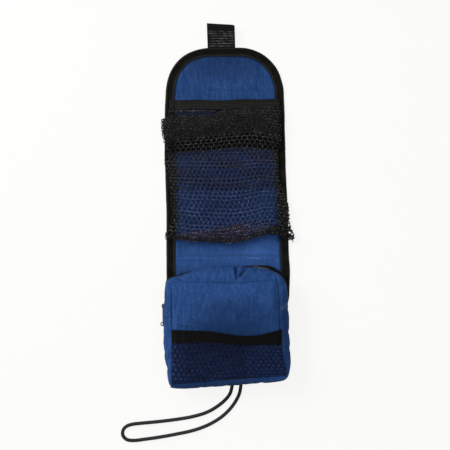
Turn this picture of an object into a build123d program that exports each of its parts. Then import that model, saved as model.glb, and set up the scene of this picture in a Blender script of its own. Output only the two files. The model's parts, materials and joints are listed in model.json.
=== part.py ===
"""Fold-out hanging toiletry bag, opened flat and lying face up.

Frame: +X to the right, +Y towards the hanging loop, +Z up, in millimetres.
The origin lies on the back of the middle panel, on the surface that the bag rests on.
The panel folds at two creases across X: the seam above the pouch and the crease under the flap.
"""

import math
import os

from build123d import *

os.makedirs("parts", exist_ok=True)

# Cloth, padding and webbing
shell_cloth = 0.6
padding = 1.2
lining_cloth = 0.6
binding_cloth = 0.6
gusset_cloth = 1.2
front_cloth = 1.2
net_cloth = 0.8
webbing = 1.4

# Outline of the whole opened panel
flap_width = 130.0
seam_width = 134.5
arch_radius = 49.0
panel_corner_radius = 10.0
binding_width = 9.5
panel_top_y = 171.0
flap_crease_y = 122.0
seam_y = -56.0
panel_low_y = -197.0
crease_gap = 0.6

# Net pocket on the middle panel
net_edge_gap = 0.5
net_top_y = 105.0
net_low_y = -38.0
net_room = 4.6
net_slope = 3.0
net_band_length = 10.5
hem_radius = 2.3
hem_gap = 0.1
net_fold_width = 122.0
net_fold_length = 28.0
net_fold_height = 3.0
net_fold_low_y = 71.0

# Zipped pouch
pouch_side_inset = 2.0
pouch_length = 128.0
pouch_top_radius = 20.0
front_z = 33.5
front_top_width = 113.0
front_low_width = 121.0
front_top_inset = 13.7
front_low_inset = 11.3
front_top_radius = 12.0
lid_crease_y = -118.0

# Zip round the top of the pouch
tape_height = 4.0
tape_cloth = 0.8
tooth_height = 1.0
tooth_depth = 1.8
tooth_length = 1.6
tooth_pitch = 3.0
coil_height = 0.5
slider_slot = 1.2
zip_end_inset = 7.0
stop_length = 1.6
stop_gap = 0.1

# Slider and pull
slider_plate = 1.1
slider_length = 10.0
slider_height = 8.4
slider_tail_height = 6.2
slider_corner_radius = 1.5
slider_overhang = 0.4
slider_clearance = 0.3
post_clearance = 0.2
post_length = 2.0
lug_length = 4.2
lug_height = 2.6
lug_reach = 2.8
lug_radius = 1.0
pull_bore_radius = 0.85
pull_bar_radius = 0.6
pull_length = 21.0
pull_height = 6.0
pull_tip_height = 4.4
pull_thickness = 1.2
pull_arm = 1.1
pull_window = 5.0
pull_eye_radius = 1.3
pull_corner_radius = 1.6

# Net pocket on the pouch's front
front_net_width = 111.0
front_net_room = 4.6
front_net_slope = 2.5
front_net_top_y = -147.0
front_net_low_y = -182.5
front_band_length = 12.5

# Webbing loop
loop_width = 30.0
loop_offset_x = -2.7
loop_length = 27.0
loop_eye_height = 4.6
loop_root_height = 3.3
loop_knee = 10.0
loop_gap = 0.4

# Elastic cord
cord_diameter = 3.8
cord_facets = 10

# Heights in the panel's layers
rim_z = binding_cloth
padding_z = rim_z + shell_cloth
lining_z = padding_z + padding
lining_top_z = lining_z + lining_cloth
binding_top_z = lining_top_z + binding_cloth

# Heights in the pouch's wall: tape, teeth, slot, teeth, tape, gusset
lower_teeth_z = binding_top_z + tape_height
lower_teeth_top_z = lower_teeth_z + coil_height + tooth_height
upper_teeth_z = lower_teeth_top_z + slider_slot
upper_tape_z = upper_teeth_z + tooth_height + coil_height
gusset_z = upper_tape_z + tape_height
zip_z = (lower_teeth_top_z + upper_teeth_z) / 2
front_under_z = front_z - front_cloth

# The pouch's wall stands just inside the panel's edge
pouch_width = seam_width - 2 * pouch_side_inset
pouch_low_y = panel_low_y + pouch_side_inset
pouch_top_y = pouch_low_y + pouch_length
pouch_low_radius = panel_corner_radius - pouch_side_inset
front_top_y = pouch_top_y - front_top_inset
front_low_y = pouch_low_y + front_low_inset


def bag_outline(inset):
    """The flat outline of the whole opened panel, drawn in by inset all round."""
    net_band_top_y = net_top_y + net_band_length
    with BuildSketch() as outline:
        with BuildLine():
            Polyline(
                (-flap_width / 2, panel_top_y),
                (-flap_width / 2, net_band_top_y),
                (-seam_width / 2, seam_y),
                (-seam_width / 2, panel_low_y),
                (seam_width / 2, panel_low_y),
                (seam_width / 2, seam_y),
                (flap_width / 2, net_band_top_y),
                (flap_width / 2, panel_top_y),
                close=True,
            )
        make_face()
        fillet(outline.vertices().group_by(Axis.Y)[-1], arch_radius)
        fillet(outline.vertices().group_by(Axis.Y)[0], panel_corner_radius)
        if inset:
            offset(amount=-inset)
    return outline.sketch


def pouch_outline(inset):
    """The pouch's wall where it stands on the panel, drawn in by inset all round."""
    with BuildSketch() as outline:
        with Locations((0, (pouch_top_y + pouch_low_y) / 2)):
            Rectangle(pouch_width, pouch_length)
        fillet(outline.vertices().group_by(Axis.Y)[-1], pouch_top_radius)
        fillet(outline.vertices().group_by(Axis.Y)[0], pouch_low_radius)
        if inset:
            offset(amount=-inset)
    return outline.sketch


def front_outline(inset):
    """The pouch's front panel, a little wider at its lower edge, drawn in by inset.

    Its lower corners are as round as those of the wall that leads up to them.
    """
    with BuildSketch() as outline:
        with BuildLine():
            Polyline(
                (-front_top_width / 2, front_top_y),
                (-front_low_width / 2, front_low_y),
                (front_low_width / 2, front_low_y),
                (front_top_width / 2, front_top_y),
                close=True,
            )
        make_face()
        fillet(outline.vertices().group_by(Axis.Y)[-1], front_top_radius)
        fillet(outline.vertices().group_by(Axis.Y)[0], pouch_low_radius)
        if inset:
            offset(amount=-inset)
    return outline.sketch


def band_between(low_y, high_y):
    """A rectangle across the whole bag between two lines."""
    with BuildSketch() as band:
        with Locations((0, (low_y + high_y) / 2)):
            Rectangle(2 * seam_width, high_y - low_y)
    return band.sketch


def keep_between(low_y, high_y):
    """Keeps what the part being built has between two lines across the bag."""
    extrude(band_between(low_y, high_y), amount=2 * front_z, mode=Mode.INTERSECT)


def wall_above(level, inset, cloth, height):
    """Adds a ring of the pouch's upright wall to the part being built."""
    with BuildSketch(Plane.XY.offset(level)) as ring:
        add(pouch_outline(inset))
        add(pouch_outline(inset + cloth), mode=Mode.SUBTRACT)
    extrude(ring.sketch, amount=height)


def sloping_gusset():
    """Adds the pouch's wall where it leans in from the zip to the front panel."""
    for inset, mode in ((0, Mode.ADD), (gusset_cloth, Mode.SUBTRACT)):
        with BuildSketch(Plane.XY.offset(gusset_z)) as foot:
            add(pouch_outline(inset))
        with BuildSketch(Plane.XY.offset(front_under_z)) as head:
            add(front_outline(inset))
        loft([foot.sketch.face(), head.sketch.face()], ruled=True, mode=mode)


def net_vault(width, low_y, high_y, base_z, room, slope):
    """Adds a low vault of cloth, sewn down at its sides and its lower edge."""
    closed_end = 2 * slope
    for cloth, mode in ((net_cloth, Mode.ADD), (0, Mode.SUBTRACT)):
        length = high_y - low_y + closed_end
        middle_y = low_y + length / 2 - (net_cloth - cloth)
        shrink = 2 * (net_cloth - cloth)
        with BuildSketch(Plane.XY.offset(base_z)) as foot:
            with Locations((0, middle_y + shrink)):
                Rectangle(width - shrink, length)
        with BuildSketch(Plane.XY.offset(base_z + room + cloth)) as head:
            with Locations((0, middle_y + shrink + slope / 2)):
                Rectangle(width - shrink - 2 * slope, length - slope)
        loft([foot.sketch.face(), head.sketch.face()], ruled=True, mode=mode)
    keep_between(low_y - slope, high_y)


pieces = []


def finish(piece, name):
    """Names a finished piece and lists it for export."""
    piece.label = name
    pieces.append(piece)


# Panel sections, each with its shell, padding, lining and binding
sections = {
    "pouch": (panel_low_y, seam_y - crease_gap / 2),
    "middle": (seam_y + crease_gap / 2, flap_crease_y - crease_gap / 2),
    "flap": (flap_crease_y + crease_gap / 2, panel_top_y),
}

for section, (low_y, high_y) in sections.items():
    with BuildPart() as back_shell:
        with BuildSketch():
            add(bag_outline(binding_width))
        extrude(amount=rim_z)
        with BuildSketch(Plane.XY.offset(rim_z)):
            add(bag_outline(binding_cloth))
        extrude(amount=shell_cloth)
        keep_between(low_y, high_y)
    finish(back_shell.part, f"{section}_back_shell")

    with BuildPart() as panel_padding:
        with BuildSketch(Plane.XY.offset(padding_z)):
            add(bag_outline(binding_cloth))
        extrude(amount=padding)
        keep_between(low_y, high_y)
    finish(panel_padding.part, f"{section}_padding")

    with BuildPart() as lining:
        with BuildSketch(Plane.XY.offset(lining_z)):
            add(bag_outline(binding_cloth))
        extrude(amount=lining_cloth)
        keep_between(low_y, high_y)
    finish(lining.part, f"{section}_lining")

    with BuildPart() as binding:
        with BuildSketch():
            add(bag_outline(0))
            add(bag_outline(binding_width), mode=Mode.SUBTRACT)
        extrude(amount=binding_top_z)
        with BuildSketch(Plane.XY.offset(rim_z)):
            add(bag_outline(binding_cloth))
        extrude(amount=lining_top_z - rim_z, mode=Mode.SUBTRACT)
        keep_between(low_y, high_y)
    finish(binding.part, f"{section}_binding")


# Net pocket on the middle panel: sheet, mouth band, folded slack and rolled hem
net_width = min(flap_width, seam_width) - 2 * (binding_width + net_edge_gap)
net_top_z = lining_top_z + net_room + net_cloth

with BuildPart() as net_pocket:
    net_vault(net_width, net_low_y, net_top_y, lining_top_z, net_room, net_slope)
finish(net_pocket.part, "net_pocket")

with BuildPart() as net_band:
    net_vault(
        net_width, net_low_y, net_top_y + net_band_length, lining_top_z, net_room, net_slope
    )
    keep_between(net_top_y, net_top_y + net_band_length)
finish(net_band.part, "net_band")

with BuildPart() as net_fold:
    with BuildSketch(Plane.XY.offset(net_top_z)):
        with Locations((0, net_fold_low_y + net_fold_length / 2)):
            Rectangle(net_fold_width, net_fold_length)
    extrude(amount=net_fold_height)
    fillet(net_fold.edges().filter_by(Axis.X), 0.45 * net_fold_height)
finish(net_fold.part, "net_fold")

with BuildPart() as net_hem:
    hem_y = net_low_y - hem_radius - hem_gap
    with BuildSketch(Plane.YZ.offset(-net_width / 2)):
        with Locations((hem_y, lining_top_z + hem_radius)):
            Circle(hem_radius)
    extrude(amount=net_width)
finish(net_hem.part, "net_hem")


# Pouch wall and front
with BuildPart() as lower_gusset:
    wall_above(binding_top_z, 0, gusset_cloth, gusset_z - binding_top_z)
    sloping_gusset()
    keep_between(pouch_low_y, lid_crease_y - crease_gap / 2)
finish(lower_gusset.part, "lower_gusset")

with BuildPart() as upper_gusset:
    sloping_gusset()
    keep_between(lid_crease_y + crease_gap / 2, pouch_top_y)
finish(upper_gusset.part, "upper_gusset")

with BuildPart() as lower_front_panel:
    with BuildSketch(Plane.XY.offset(front_under_z)):
        add(front_outline(0))
    extrude(amount=front_cloth)
    keep_between(front_low_y, lid_crease_y - crease_gap / 2)
finish(lower_front_panel.part, "lower_front_panel")

with BuildPart() as upper_front_panel:
    with BuildSketch(Plane.XY.offset(front_under_z)):
        add(front_outline(0))
    extrude(amount=front_cloth)
    keep_between(lid_crease_y + crease_gap / 2, front_top_y)
finish(upper_front_panel.part, "upper_front_panel")


# Zip tapes: the panel's half is sewn to the panel, the other half to the upper gusset
with BuildPart() as zip_tape_lower:
    wall_above(lining_top_z, 0, tape_cloth, lower_teeth_z - lining_top_z)
    keep_between(lid_crease_y - crease_gap / 2, pouch_top_y)
    with BuildSketch(Plane.XY.offset(lining_top_z)):
        add(bag_outline(0))
        add(bag_outline(binding_width), mode=Mode.SUBTRACT)
    extrude(amount=binding_cloth, mode=Mode.SUBTRACT)
finish(zip_tape_lower.part, "zip_tape_lower")

with BuildPart() as zip_tape_upper:
    wall_above(upper_tape_z, 0, tape_cloth, tape_height)
    keep_between(lid_crease_y + crease_gap / 2, pouch_top_y)
finish(zip_tape_upper.part, "zip_tape_upper")

# The teeth stand along the middle of the tape, from one end of the zip to the other
zip_end_y = lid_crease_y + zip_end_inset
zip_side_x = pouch_width / 2 - tape_cloth / 2

with BuildLine() as zip_line:
    FilletPolyline(
        (-zip_side_x, zip_end_y),
        (-zip_side_x, pouch_top_y - tape_cloth / 2),
        (zip_side_x, pouch_top_y - tape_cloth / 2),
        (zip_side_x, zip_end_y),
        radius=pouch_top_radius - tape_cloth / 2,
    )

zip_run = zip_line.wire()
tooth_count = int((zip_run.length - tooth_pitch) / tooth_pitch)
tooth_start = (zip_run.length - (tooth_count - 1) * tooth_pitch) / 2


def tooth_places(level):
    """Where the teeth stand at one height, each turned along the zip."""
    places = []
    for index in range(tooth_count):
        along = tooth_start + index * tooth_pitch
        point = zip_run.position_at(along, PositionMode.LENGTH)
        way = zip_run.tangent_at(along, PositionMode.LENGTH)
        turn = math.degrees(math.atan2(way.Y, way.X))
        places.append(Location((point.X, point.Y, level), (0, 0, turn)))
    return places


for side, coil_z, tooth_z in (
    ("lower", lower_teeth_z, lower_teeth_z + coil_height),
    ("upper", upper_tape_z - coil_height, upper_teeth_z),
):
    with BuildPart() as zip_teeth:
        wall_above(coil_z, (tape_cloth - tooth_depth) / 2, tooth_depth, coil_height)
        keep_between(zip_end_y, pouch_top_y)
        with Locations(tooth_places(tooth_z)):
            Box(
                tooth_length,
                tooth_depth,
                tooth_height,
                align=(Align.CENTER, Align.CENTER, Align.MIN),
            )
    finish(zip_teeth.part, f"zip_teeth_{side}")

with BuildPart() as zip_end_stops:
    stop_y = zip_end_y - stop_length / 2 - stop_gap
    with BuildSketch(Plane.XY.offset(lower_teeth_z)):
        with Locations((-zip_side_x, stop_y), (zip_side_x, stop_y)):
            Rectangle(tooth_depth, stop_length)
    extrude(amount=coil_height + tooth_height)
finish(zip_end_stops.part, "zip_end_stops")


# Slider on the left run: two plates, the post between them and a lug for the pull.
# Its sketches stand upright along the wall, with their first axis along +Y.
plate_inner_x = zip_side_x + tooth_depth / 2 + slider_clearance
plate_outer_x = plate_inner_x + slider_plate
slider_low_y = zip_end_y - stop_gap - stop_length - slider_overhang
slider_middle_y = slider_low_y + slider_length / 2
lug_y = slider_middle_y
pull_axis_x = plate_outer_x + lug_reach / 2


def wall_plane(x):
    """An upright plane along the left wall, facing outwards."""
    return Plane(origin=(-x, 0, 0), x_dir=(0, 1, 0), z_dir=(-1, 0, 0))


with BuildSketch() as slider_plate_outline:
    with BuildLine():
        Polyline(
            (slider_low_y, -zip_z - slider_height / 2),
            (slider_low_y + slider_length, -zip_z - slider_tail_height / 2),
            (slider_low_y + slider_length, -zip_z + slider_tail_height / 2),
            (slider_low_y, -zip_z + slider_height / 2),
            close=True,
        )
    make_face()
    fillet(slider_plate_outline.vertices(), slider_corner_radius)

with BuildPart() as zip_slider:
    with BuildSketch(wall_plane(plate_inner_x)):
        add(slider_plate_outline.sketch)
    extrude(amount=slider_plate)
    inner_face_x = zip_side_x - tooth_depth / 2 - slider_clearance - slider_plate
    with BuildSketch(wall_plane(inner_face_x)):
        add(slider_plate_outline.sketch)
    extrude(amount=slider_plate)
    with BuildSketch(wall_plane(inner_face_x)):
        with Locations((slider_low_y + post_length, -zip_z)):
            Rectangle(post_length, slider_slot - 2 * post_clearance)
    extrude(amount=plate_inner_x - inner_face_x)
    with BuildSketch(Plane.XY.offset(zip_z - lug_height / 2)):
        with Locations((-plate_outer_x - lug_reach / 2, lug_y)):
            RectangleRounded(lug_reach, lug_length, lug_radius)
        with Locations((-plate_outer_x - lug_radius / 2, lug_y)):
            Rectangle(lug_radius, lug_length)
        with Locations((-pull_axis_x, lug_y)):
            Circle(pull_bore_radius, mode=Mode.SUBTRACT)
    extrude(amount=lug_height)
finish(zip_slider.part, "zip_slider")

with BuildPart() as zip_pull:
    with BuildSketch(wall_plane(pull_axis_x - pull_thickness / 2)) as pull_outline:
        with BuildLine():
            Polyline(
                (lug_y, -zip_z - pull_height / 2),
                (lug_y, -zip_z + pull_height / 2),
                (lug_y - pull_length, -zip_z + pull_tip_height / 2),
                (lug_y - pull_length, -zip_z - pull_tip_height / 2),
                close=True,
            )
        make_face()
        fillet(pull_outline.vertices().group_by(Axis.Y)[0], pull_corner_radius)
        with Locations((lug_y - pull_window / 2, -zip_z)):
            Rectangle(pull_window, pull_height - 2 * pull_arm, mode=Mode.SUBTRACT)
        with Locations((lug_y - pull_length + pull_tip_height / 2, -zip_z)):
            Circle(pull_eye_radius, mode=Mode.SUBTRACT)
    extrude(amount=pull_thickness)
    with BuildSketch(Plane.XY.offset(zip_z - pull_height / 2)):
        with Locations((-pull_axis_x, lug_y)):
            Circle(pull_bar_radius)
    extrude(amount=pull_height)
finish(zip_pull.part, "zip_pull")


# Net pocket on the pouch's front
with BuildPart() as front_net:
    net_vault(
        front_net_width, front_net_low_y, front_net_top_y, front_z, front_net_room, front_net_slope
    )
finish(front_net.part, "front_net")

with BuildPart() as front_net_band:
    band_top_y = front_net_top_y + front_band_length
    net_vault(
        front_net_width, front_net_low_y, band_top_y, front_z, front_net_room, front_net_slope
    )
    keep_between(front_net_top_y, band_top_y)
finish(front_net_band.part, "front_net_band")


# Webbing loop, sewn to the top of the flap: one band round an open eye
with BuildPart() as hanging_loop:
    with BuildSketch(Plane.YZ.offset(loop_offset_x - loop_width / 2)):
        root_y = panel_top_y + loop_gap
        loop_height = loop_eye_height + 2 * webbing
        bend_y = root_y + loop_length - loop_gap - loop_height / 2
        with BuildLine():
            Polyline(
                (bend_y, 0), (root_y, 0), (root_y, loop_root_height),
                (root_y + loop_knee, loop_height), (bend_y, loop_height),
            )
            RadiusArc((bend_y, loop_height), (bend_y, 0), loop_height / 2)
        make_face()
        offset(amount=-webbing, mode=Mode.SUBTRACT)
    extrude(amount=loop_width)
finish(hanging_loop.part, "hanging_loop")


# Elastic cord: both ends are sewn in under the pouch's lower edge
cord_z = cord_diameter / 2
cord_route = [
    (5.7, panel_low_y, cord_z),
    (5.7, -203.2, cord_z),
    (0.4, -211.2, cord_z),
    (-9.6, -219.2, cord_z),
    (-22.4, -225.6, cord_z),
    (-38.6, -230.1, cord_z),
    (-58.0, -233.0, cord_z),
    (-79.0, -235.2, cord_z),
    (-96.0, -236.6, cord_z),
    (-106.6, -238.6, cord_z),
    (-113.2, -242.6, cord_z),
    (-115.0, -248.2, cord_z),
    (-111.0, -253.0, cord_z),
    (-103.0, -254.6, cord_z),
    (-92.0, -254.0, cord_z),
    (-77.0, -252.2, cord_z),
    (-58.0, -249.0, cord_z),
    (-38.0, -245.2, cord_z),
    (-21.5, -239.4, cord_z),
    (-6.8, -231.0, cord_z),
    (5.0, -220.6, cord_z),
    (12.2, -210.0, cord_z),
    (14.6, -203.2, cord_z),
    (14.6, panel_low_y, cord_z),
]


def corner_radii(route):
    """The largest arc that the two runs at each corner of a route leave room for."""
    radii = []
    for before, corner, after in zip(route, route[1:], route[2:]):
        run_in = Vector(*corner) - Vector(*before)
        run_out = Vector(*after) - Vector(*corner)
        half_turn = math.radians(run_in.get_angle(run_out)) / 2
        shorter = min(run_in.length, run_out.length)
        radii.append(0.45 * shorter / math.tan(half_turn))
    return radii


cord_radii = corner_radii(cord_route)

# The round cord is drawn with flat sides, out to where it keeps the round one's area
cord_turn = 2 * math.pi / cord_facets
cord_radius = cord_diameter / 2 * math.sqrt(cord_turn / math.sin(cord_turn))

with BuildPart() as elastic_cord:
    with BuildLine() as cord_line:
        FilletPolyline(*cord_route, radius=cord_radii)
    with BuildSketch(cord_line.line ^ 0):
        RegularPolygon(cord_radius, cord_facets)
    sweep()
finish(elastic_cord.part, "elastic_cord")

print("cord radii", [round(radius, 1) for radius in cord_radii])
cord_area = math.pi * cord_diameter**2 / 4
print("cord length", round(cord_line.wire().length, 1))
print("cord volume", round(elastic_cord.part.volume), round(cord_area * cord_line.wire().length))

for piece in pieces:
    export_step(piece, f"parts/{piece.label}.step")
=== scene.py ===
import json
import math

import bmesh
import bpy
from mathutils import Matrix, Vector, noise
from mathutils.bvhtree import BVHTree


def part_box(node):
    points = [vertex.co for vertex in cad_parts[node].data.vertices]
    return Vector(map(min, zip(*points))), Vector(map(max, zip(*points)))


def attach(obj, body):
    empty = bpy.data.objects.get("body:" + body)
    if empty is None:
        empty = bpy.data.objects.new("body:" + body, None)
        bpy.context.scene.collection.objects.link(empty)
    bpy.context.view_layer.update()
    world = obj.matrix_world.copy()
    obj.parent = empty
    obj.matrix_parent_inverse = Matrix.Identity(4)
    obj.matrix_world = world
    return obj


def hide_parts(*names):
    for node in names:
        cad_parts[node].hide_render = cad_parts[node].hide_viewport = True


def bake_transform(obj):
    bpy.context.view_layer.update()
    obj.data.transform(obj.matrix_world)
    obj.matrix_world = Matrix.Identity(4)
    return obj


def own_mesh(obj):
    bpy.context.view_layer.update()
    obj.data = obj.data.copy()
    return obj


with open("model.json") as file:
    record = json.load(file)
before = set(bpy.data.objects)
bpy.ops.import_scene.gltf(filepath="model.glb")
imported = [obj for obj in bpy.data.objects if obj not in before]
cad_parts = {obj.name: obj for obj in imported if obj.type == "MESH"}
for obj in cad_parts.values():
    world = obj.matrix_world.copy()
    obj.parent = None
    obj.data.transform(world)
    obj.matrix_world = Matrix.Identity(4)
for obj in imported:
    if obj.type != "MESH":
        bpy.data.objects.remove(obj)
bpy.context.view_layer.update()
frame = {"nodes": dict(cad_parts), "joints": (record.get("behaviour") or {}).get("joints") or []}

# A hanging toiletry bag, lying open on its back. Lengths here are in millimetres,
# and MM turns them into Blender's metres.
MM = 0.001


# ---- places from the frame

def node_box(name):
    """A node's lowest and highest corner, in millimetres."""
    low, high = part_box(name)
    return Vector(low) / MM, Vector(high) / MM


joints = {joint["name"]: joint for joint in frame["joints"]}
seam_y, crease_y, lid_y = (joints[name]["pos_m"][1] / MM for name in ("panel_fold", "flap_fold", "lid_open"))
panel_low_y = node_box("pouch_binding")[0].y
seam_half = node_box("pouch_binding")[1].x
flap_half, panel_top_y, binding_top = node_box("flap_binding")[1]
lining_top = node_box("flap_lining")[1].z
band_top_y = node_box("net_band")[1].y
zip_low, zip_high = node_box("zip_tape_lower")[0].z, node_box("zip_tape_upper")[1].z
slider_low, slider_high = node_box("zip_slider")
slider_y, zip_z = (slider_low.y + slider_high.y) / 2, (slider_low.z + slider_high.z) / 2
wall_x = node_box("lower_gusset")[1].x

arch_radius = panel_top_y - crease_y
corner_radius = 10.0
binding_width = 9.5
tape_width = 20.6  # the binding tape before it is folded over the edge
sewn_in = 3.0  # how far the panel's cloths stop short of its edge, under the binding


# ---- small shape helpers

def mix(a, b, share):
    """From a at share 0 to b at share 1."""
    return a + (b - a) * share


def smooth(first, last, value):
    """0 before first, 1 after last and an even turn between."""
    share = min(max((value - first) / (last - first), 0), 1)
    return share * share * (3 - 2 * share)


def hump(value, middle, width):
    """A soft bump of height 1."""
    return math.exp(-(((value - middle) / width) ** 2))


def belly(share, power):
    """0 at both ends of a span and 1 in its middle, blunter for a lower power."""
    return math.sin(math.pi * min(max(share, 0), 1)) ** power


def through(points, value):
    """A smooth line through (place, height) points, level beyond its ends."""
    if value <= points[0][0]:
        return points[0][1]
    for (x0, y0), (x1, y1) in zip(points, points[1:]):
        if value <= x1:
            return mix(y0, y1, smooth(x0, x1, value))
    return points[-1][1]


def joined(points, value):
    """A line of straight runs through (place, height) points, going on beyond its ends."""
    index = 0
    while index < len(points) - 2 and points[index + 1][0] < value:
        index += 1
    (x0, y0), (x1, y1) = points[index:index + 2]
    return mix(y0, y1, (value - x0) / (x1 - x0))


def ripple(x, y, size, height, seed):
    """Slow unevenness of cloth. Each seed gives another pattern."""
    return height * noise.noise(Vector((x / size, y / size, seed * 7.3)))


def creased(x, y, creases):
    """How far the creases press the cloth in here. Each is a line, a width and a depth."""
    depth = 0.0
    for start, end, width, deep in creases:
        a, way = Vector(start), Vector(end) - Vector(start)
        share = min(max((Vector((x, y)) - a).dot(way) / way.length_squared, 0), 1)
        away = (Vector((x, y)) - a - way * share).length
        depth += deep * hump(away, 0, width) * (0.35 + 0.65 * math.sin(math.pi * share))
    return depth


class Route:
    """A line through many points, walked by distance."""

    def __init__(self, points):
        self.points = [Vector(points[0])]
        for point in points[1:]:
            if (Vector(point) - self.points[-1]).length > 1e-4:
                self.points.append(Vector(point))
        self.marks = [0.0]
        for a, b in zip(self.points, self.points[1:]):
            self.marks.append(self.marks[-1] + (b - a).length)
        self.length = self.marks[-1]

    def at(self, share):
        """The point at a share of the length, and the unit vector to its right."""
        reach = min(max(share, 0), 1) * self.length
        index = 0
        while index < len(self.points) - 2 and self.marks[index + 1] < reach:
            index += 1
        a, b = self.points[index], self.points[index + 1]
        way = (b - a).normalized()
        return a + way * (reach - self.marks[index]), Vector((way.y, -way.x))


def arc(cx, cy, radius, first, last, steps=24):
    """Points round part of a circle, in degrees from +X."""
    turns = [math.radians(mix(first, last, i / steps)) for i in range(steps + 1)]
    return [(cx + radius * math.cos(t), cy + radius * math.sin(t)) for t in turns]


class Ring:
    """A closed outline with rounded corners, walked against the clock from its lower left
    corner. Four of its corners divide it into lower, right, upper and left sides."""

    steps = 16

    def __init__(self, corners, turns=(0, 1, 2, 3)):
        bends = []
        count = len(corners)
        for i in range(count):
            before, here, after = (Vector(corners[(i + k) % count][:2]) for k in (-1, 0, 1))
            a, b, radius = (before - here).normalized(), (after - here).normalized(), corners[i][2]
            half = a.angle(b) / 2
            centre = here + (a + b).normalized() * radius / math.sin(half)
            reach = radius / math.tan(half)
            first, last = here + a * reach - centre, here + b * reach - centre
            shares = [i / self.steps for i in range(self.steps + 1)]
            bends.append([centre + first.lerp(last, s).normalized() * radius for s in shares])
        self.sides = []
        middle = self.steps // 2
        for first, last in zip(turns, (*turns[1:], turns[0] + count)):
            line = bends[first][middle:]
            for i in range(first + 1, last):
                line += bends[i % count]
            self.sides.append(Route(line + bends[last % count][:middle + 1]))

    def at(self, side, share):
        """The point at a share of a side, and the unit vector out of the ring."""
        return self.sides[side].at(share)


def half_width(y):
    """Half of the flat panel's width, from the arched flap down to the pouch's corners."""
    if y > crease_y:
        rise = min(y - crease_y, arch_radius)
        return flap_half - arch_radius + math.sqrt(arch_radius**2 - rise**2)
    if y > seam_y:
        return mix(seam_half, flap_half, min((y - seam_y) / (band_top_y - seam_y), 1))
    drop = max(panel_low_y + corner_radius - y, 0)
    rounding = corner_radius - math.sqrt(max(corner_radius**2 - drop**2, 0))
    return seam_half - rounding


def inset(x, y):
    """How far inside the flat panel's edge a place is."""
    if y > crease_y:
        return arch_radius - math.hypot(max(abs(x) - (flap_half - arch_radius), 0), y - crease_y)
    return min(half_width(y) - abs(x), y - panel_low_y)


def lie(x, y):
    """Where a point of the flat panel comes to lie: pinched at the arch, drawn to the right
    lower down, and narrower beneath the pouch, with a lower edge that rises to the right."""
    under = smooth(lid_y + 20, lid_y - 4, y)
    wide = 1 - 0.012 * hump(y, 136, 14) - 0.008 * smooth(60, 20, y)
    drift = 1.6 * smooth(55, -15, y) * (1 - under)
    drift += 1.1 * hump(y, -74, 12) * smooth(0, seam_half, x)
    drift += 0.7 * hump(y, 124, 12) * smooth(0, -flap_half, x)
    rise = (1.2 + 7.6 * (x + seam_half) / (2 * seam_half)) * smooth(-140, panel_low_y, y)
    rise -= 0.005 * x * smooth(135, 165, y)
    return x * wide * (1 - 0.045 * under) + drift, y + rise


def panel_edge(y, side):
    """Where the lying panel's edge is, at its left (-1) or right (1)."""
    return lie(side * half_width(y), y)[0]


# ---- making pieces

def linked(name, data):
    """A new object in the scene."""
    made = bpy.data.objects.new(name, data)
    bpy.context.scene.collection.objects.link(made)
    return made


def as_piece(name, work, finish):
    """Turns a finished bmesh into an object with its finish and material slot."""
    for face in work.faces:
        face.smooth = True
    mesh = bpy.data.meshes.new(name)
    work.to_mesh(mesh)
    work.free()
    piece = linked(name, mesh)
    mesh.materials.append(finish)
    return piece


def flat_map(work):
    """The UV map that holds where each point was on the flat cut."""
    maps = work.loops.layers.uv
    return maps.get("UVMap") or maps.new("UVMap")


def laid_grid(columns, rows, size, place, work=None):
    """A flat grid that place(u, v) lays, with its flat size kept in its UV map."""
    work = work or bmesh.new()
    flat = flat_map(work)
    made = bmesh.ops.create_grid(work, x_segments=columns, y_segments=rows, size=0.5)["verts"]
    for vert in made:
        for loop in vert.link_loops:
            loop[flat].uv = ((vert.co.x + 0.5) * size[0] * MM, (vert.co.y + 0.5) * size[1] * MM)
    for vert in made:
        vert.co = Vector(place(vert.co.x + 0.5, vert.co.y + 0.5)) * MM
    return work


def cloth(name, columns, rows, size, place, finish, thickness=0.5, side=-1):
    """A cut of cloth that place(u, v) lays."""
    work = laid_grid(columns, rows, size, place)
    bmesh.ops.remove_doubles(work, verts=work.verts, dist=1e-6)
    piece = as_piece(name, work, finish)
    thicken(piece, thickness, side)
    return piece


def thicken(piece, thickness, side=-1):
    """Gives a piece a thickness in millimetres: below its face at side -1, about it at 0."""
    wall = piece.modifiers.new("thickness", "SOLIDIFY")
    wall.thickness = thickness * MM
    wall.offset = side


def round_off(piece):
    """Halves a piece's faces and rounds them."""
    rounding = piece.modifiers.new("rounding", "SUBSURF")
    rounding.levels = rounding.render_levels = 1


net_thickness = 0.5


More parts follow.
